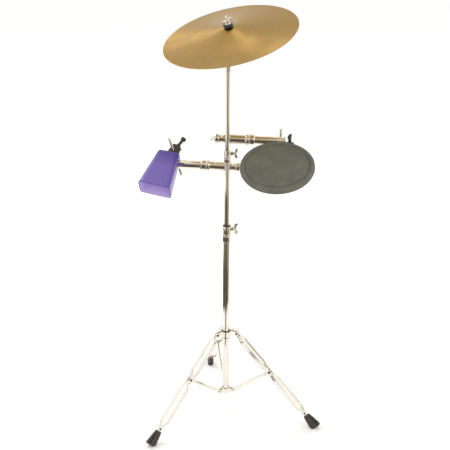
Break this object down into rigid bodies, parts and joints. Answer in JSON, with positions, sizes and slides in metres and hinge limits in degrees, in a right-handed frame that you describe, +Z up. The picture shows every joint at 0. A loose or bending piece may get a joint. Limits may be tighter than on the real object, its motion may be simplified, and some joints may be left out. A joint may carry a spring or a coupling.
{
  "type": "practice pad",
  "caption": "Practice pad set on a folding double-braced stand, with a cymbal on a tilter and a cowbell, each of the two side pieces on its own clamp arm",
  "frame": {"origin": "On the floor, on the axis of the stand's tubes, midway between the three feet.", "axes": "+Z up along the tubes. -Y is the player's side, where the pad and the cowbell's mouth face. +X is the side of the pad arm."},
  "size_m": [0.6309, 0.6152, 1.4586],
  "materials": {
    "chrome": "polished chrome plate, faint fine wear in the clamps",
    "black_steel": "black painted steel, satin",
    "black_plastic": "black moulded plastic, fine grain",
    "foot_rubber": "dark brown-black ribbed rubber",
    "pad_rubber": "matte grey-green rubber",
    "pad_board": "dark moulded backing board",
    "felt": "black pressed felt",
    "bronze": "gold brass with fine circular lathe lines",
    "bell_plastic": "translucent purple moulded plastic, glossy"
  },
  "bodies": {
    "base": {"base_tube": "chrome", "lower_clamp": "chrome", "lower_clamp_bush": "black_plastic", "brace_hub": "chrome"},
    "lower_clamp_bolt": {"lower_clamp_wing_bolt": "chrome"},
    "collar": {"leg_collar": "chrome", "leg_collar_bush": "black_plastic", "leg_rear_rivet": "black_steel", "leg_right_rivet": "black_steel", "leg_left_rivet": "black_steel"},
    "leg_collar_bolt": {"leg_collar_wing_bolt": "chrome"},
    "leg_rear": {"leg_rear_bar_a": "chrome", "leg_rear_bar_b": "chrome", "leg_rear_foot": "foot_rubber"},
    "brace_rear": {"brace_rear": "chrome"},
    "leg_right": {"leg_right_bar_a": "chrome", "leg_right_bar_b": "chrome", "leg_right_foot": "foot_rubber"},
    "brace_right": {"brace_right": "chrome"},
    "leg_left": {"leg_left_bar_a": "chrome", "leg_left_bar_b": "chrome", "leg_left_foot": "foot_rubber"},
    "brace_left": {"brace_left": "chrome"},
    "middle": {"middle_tube": "chrome", "upper_clamp": "chrome"},
    "upper_clamp_bolt": {"upper_clamp_wing_bolt": "chrome"},
    "top": {"top_rod": "chrome", "tilter_base": "chrome"},
    "tilter": {"tilter_head": "chrome", "cymbal_post": "chrome", "cymbal_seat": "chrome", "lower_felt": "felt", "upper_felt": "felt"},
    "tilter_bolt": {"tilter_wing_bolt": "chrome"},
    "cymbal": {"cymbal": "bronze"},
    "cymbal_nut": {"cymbal_wing_nut": "chrome"},
    "upper_arm_sleeve": {"upper_arm_sleeve": "chrome"},
    "upper_arm_jaw": {"upper_arm_jaw": "chrome"},
    "upper_arm_tie_bolt": {"upper_arm_tie_wing_bolt": "chrome"},
    "upper_arm_lock_ring": {"upper_arm_lock_ring": "chrome"},
    "upper_arm_tube": {"upper_arm_tube": "chrome"},
    "upper_arm_eye": {"upper_arm_eye_bolt": "chrome"},
    "upper_arm_eye_nut": {"upper_arm_eye_nut": "chrome"},
    "pad_rod": {"pad_rod": "chrome"},
    "pad": {"pad_rubber": "pad_rubber", "pad_base": "pad_board", "pad_bracket": "black_steel"},
    "pad_knob": {"pad_clamp_knob": "black_plastic"},
    "lower_arm_sleeve": {"lower_arm_sleeve": "chrome"},
    "lower_arm_jaw": {"lower_arm_jaw": "chrome"},
    "lower_arm_tie_bolt": {"lower_arm_tie_wing_bolt": "chrome"},
    "lower_arm_lock_ring": {"lower_arm_lock_ring": "chrome"},
    "lower_arm_tube": {"lower_arm_tube": "chrome"},
    "lower_arm_eye": {"lower_arm_eye_bolt": "chrome"},
    "lower_arm_eye_nut": {"lower_arm_eye_nut": "chrome"},
    "bell_rod": {"bell_rod": "chrome"},
    "bell": {"bell_shell": "bell_plastic", "bell_bracket": "black_steel", "bell_bracket_bolt": "chrome"},
    "bell_knob": {"bell_clamp_knob": "black_plastic"}
  },
  "joints": [
    {"name": "lower_clamp_bolt_turn", "type": "hinge", "parent": "base", "child": "lower_clamp_bolt", "pos_m": [0.024, 0, 0.729], "axis": [1, 0, 0], "continuous": true},
    {"name": "leg_collar_slide", "type": "slide", "parent": "base", "child": "collar", "axis": [0, 0, 1], "range_m": [0, 0.1174]},
    {"name": "leg_collar_bolt_turn", "type": "hinge", "parent": "collar", "child": "leg_collar_bolt", "pos_m": [0.02723, 0.02355, 0.325], "axis": [0.7564, 0.6541, 0], "continuous": true},
    {"name": "leg_rear_fold", "type": "hinge", "parent": "collar", "child": "leg_rear", "pos_m": [-0.00747, 0.04072, 0.331], "axis": [-0.9836, -0.1805, 0], "range_deg": [0, 40.1]},
    {"name": "brace_rear_fold", "type": "hinge", "parent": "base", "child": "brace_rear", "pos_m": [-0.00478, 0.02607, 0.0924], "axis": [0.9836, 0.1805, 0], "range_deg": [0, 45.08]},
    {"name": "leg_right_fold", "type": "hinge", "parent": "collar", "child": "leg_right", "pos_m": [0.03921, -0.01327, 0.331], "axis": [0.3206, 0.9472, 0], "range_deg": [0, 40.1]},
    {"name": "brace_right_fold", "type": "hinge", "parent": "base", "child": "brace_right", "pos_m": [0.0251, -0.0085, 0.0924], "axis": [-0.3206, -0.9472, 0], "range_deg": [0, 45.08]},
    {"name": "leg_left_fold", "type": "hinge", "parent": "collar", "child": "leg_left", "pos_m": [-0.03124, -0.02716, 0.331], "axis": [0.6561, -0.7547, 0], "range_deg": [0, 40.1]},
    {"name": "brace_left_fold", "type": "hinge", "parent": "base", "child": "brace_left", "pos_m": [-0.02, -0.01739, 0.0924], "axis": [-0.6561, 0.7547, 0], "range_deg": [0, 45.08]},
    {"name": "middle_tube_height", "type": "slide", "parent": "base", "child": "middle", "axis": [0, 0, 1], "range_m": [-0.18, 0.1]},
    {"name": "upper_clamp_bolt_turn", "type": "hinge", "parent": "middle", "child": "upper_clamp_bolt", "pos_m": [0.022, 0, 0.998], "axis": [1, 0, 0], "continuous": true},
    {"name": "top_rod_height", "type": "slide", "parent": "middle", "child": "top", "axis": [0, 0, 1], "range_m": [-0.01, 0.08]},
    {"name": "cymbal_tilt", "type": "hinge", "parent": "top", "child": "tilter", "pos_m": [0, 0, 1.3744], "axis": [0.7524, -0.6587, 0], "range_deg": [-60, 40]},
    {"name": "tilter_bolt_turn", "type": "hinge", "parent": "top", "child": "tilter_bolt", "pos_m": [0, 0, 1.3744], "axis": [0.7524, -0.6587, 0], "continuous": true},
    {"name": "cymbal_spin", "type": "hinge", "parent": "tilter", "child": "cymbal", "pos_m": [-0.00032, -0.01919, 1.41695], "axis": [-0.2144, -0.245, 0.9455], "continuous": true},
    {"name": "cymbal_nut_turn", "type": "hinge", "parent": "tilter", "child": "cymbal_nut", "pos_m": [-0.00354, -0.02286, 1.43113], "axis": [-0.2144, -0.245, 0.9455], "continuous": true},
    {"name": "upper_arm_swivel", "type": "hinge", "parent": "top", "child": "upper_arm_sleeve", "pos_m": [0, 0, 1.044], "axis": [0, 0, 1], "range_deg": [-45, 90]},
    {"name": "upper_arm_jaw_open", "type": "slide", "parent": "upper_arm_sleeve", "child": "upper_arm_jaw", "axis": [-0.9903, 0.1392, 0], "range_m": [0, 0.004]},
    {"name": "upper_arm_tie_bolt_turn", "type": "hinge", "parent": "upper_arm_jaw", "child": "upper_arm_tie_bolt", "pos_m": [-0.04077, 0.01886, 1.044], "axis": [0.9903, -0.1392, 0], "continuous": true},
    {"name": "upper_arm_lock_ring_turn", "type": "hinge", "parent": "upper_arm_sleeve", "child": "upper_arm_lock_ring", "pos_m": [0.07608, 0.00244, 1.044], "axis": [0.9903, -0.1392, 0], "range_deg": [0, 180]},
    {"name": "upper_arm_length", "type": "slide", "parent": "upper_arm_sleeve", "child": "upper_arm_tube", "axis": [0.9903, -0.1392, 0], "range_m": [-0.008, 0.02]},
    {"name": "upper_arm_eye_tilt", "type": "hinge", "parent": "upper_arm_tube", "child": "upper_arm_eye", "pos_m": [0.17214, -0.01106, 1.044], "axis": [0.1392, 0.9903, 0], "range_deg": [-20, 10]},
    {"name": "upper_arm_eye_nut_turn", "type": "hinge", "parent": "upper_arm_tube", "child": "upper_arm_eye_nut", "pos_m": [0.16991, -0.02691, 1.044], "axis": [0.1392, 0.9903, 0], "continuous": true},
    {"name": "pad_rod_turn", "type": "hinge", "parent": "upper_arm_eye", "child": "pad_rod", "pos_m": [0.17561, 0.01369, 1.044], "axis": [0, 0, 1], "range_deg": [0, 50]},
    {"name": "pad_tilt", "type": "hinge", "parent": "pad_rod", "child": "pad", "pos_m": [0.2039, -0.01459, 1.016], "axis": [0.7071, -0.7071, 0], "range_deg": [-25, 4]},
    {"name": "pad_knob_turn", "type": "hinge", "parent": "pad", "child": "pad_knob", "pos_m": [0.20565, -0.01634, 1.016], "axis": [-0.0705, -0.3843, 0.9205], "continuous": true},
    {"name": "lower_arm_swivel", "type": "hinge", "parent": "middle", "child": "lower_arm_sleeve", "pos_m": [0, 0, 0.948], "axis": [0, 0, 1], "range_deg": [-60, 60]},
    {"name": "lower_arm_jaw_open", "type": "slide", "parent": "lower_arm_sleeve", "child": "lower_arm_jaw", "axis": [0.9903, -0.1392, 0], "range_m": [0, 0.004]},
    {"name": "lower_arm_tie_bolt_turn", "type": "hinge", "parent": "lower_arm_jaw", "child": "lower_arm_tie_bolt", "pos_m": [0.04439, 0.00689, 0.948], "axis": [-0.9903, 0.1392, 0], "continuous": true},
    {"name": "lower_arm_lock_ring_turn", "type": "hinge", "parent": "lower_arm_sleeve", "child": "lower_arm_lock_ring", "pos_m": [-0.07246, 0.02331, 0.948], "axis": [-0.9903, 0.1392, 0], "range_deg": [0, 180]},
    {"name": "lower_arm_length", "type": "slide", "parent": "lower_arm_sleeve", "child": "lower_arm_tube", "axis": [-0.9903, 0.1392, 0], "range_m": [-0.008, 0.02]},
    {"name": "lower_arm_eye_tilt", "type": "hinge", "parent": "lower_arm_tube", "child": "lower_arm_eye", "pos_m": [-0.17347, 0.03751, 0.948], "axis": [0.1392, 0.9903, 0], "range_deg": [-20, 20]},
    {"name": "lower_arm_eye_nut_turn", "type": "hinge", "parent": "lower_arm_tube", "child": "lower_arm_eye_nut", "pos_m": [-0.17569, 0.02166, 0.948], "axis": [0.1392, 0.9903, 0], "continuous": true},
    {"name": "bell_rod_height", "type": "slide", "parent": "lower_arm_eye", "child": "bell_rod", "axis": [-0.306, 0.043, 0.9511], "range_m": [0, 0.025]},
    {"name": "bell_turn", "type": "hinge", "parent": "bell_rod", "child": "bell", "pos_m": [-0.18162, 0.0639, 0.98414], "axis": [-0.306, 0.043, 0.9511], "range_deg": [-30, 30]},
    {"name": "bell_knob_turn", "type": "hinge", "parent": "bell", "child": "bell_knob", "pos_m": [-0.17186, 0.079, 0.99289], "axis": [0.4879, 0.7552, 0.4376], "continuous": true}
  ],
  "couplings": [
    {"joint": "leg_rear_fold", "follows": "leg_collar_slide", "rad_per_m": 5.9615},
    {"joint": "brace_rear_fold", "follows": "leg_collar_slide", "rad_per_m": 6.7018},
    {"joint": "leg_right_fold", "follows": "leg_collar_slide", "rad_per_m": 5.9615},
    {"joint": "brace_right_fold", "follows": "leg_collar_slide", "rad_per_m": 6.7018},
    {"joint": "leg_left_fold", "follows": "leg_collar_slide", "rad_per_m": 5.9615},
    {"joint": "brace_left_fold", "follows": "leg_collar_slide", "rad_per_m": 6.7018}
  ]
}
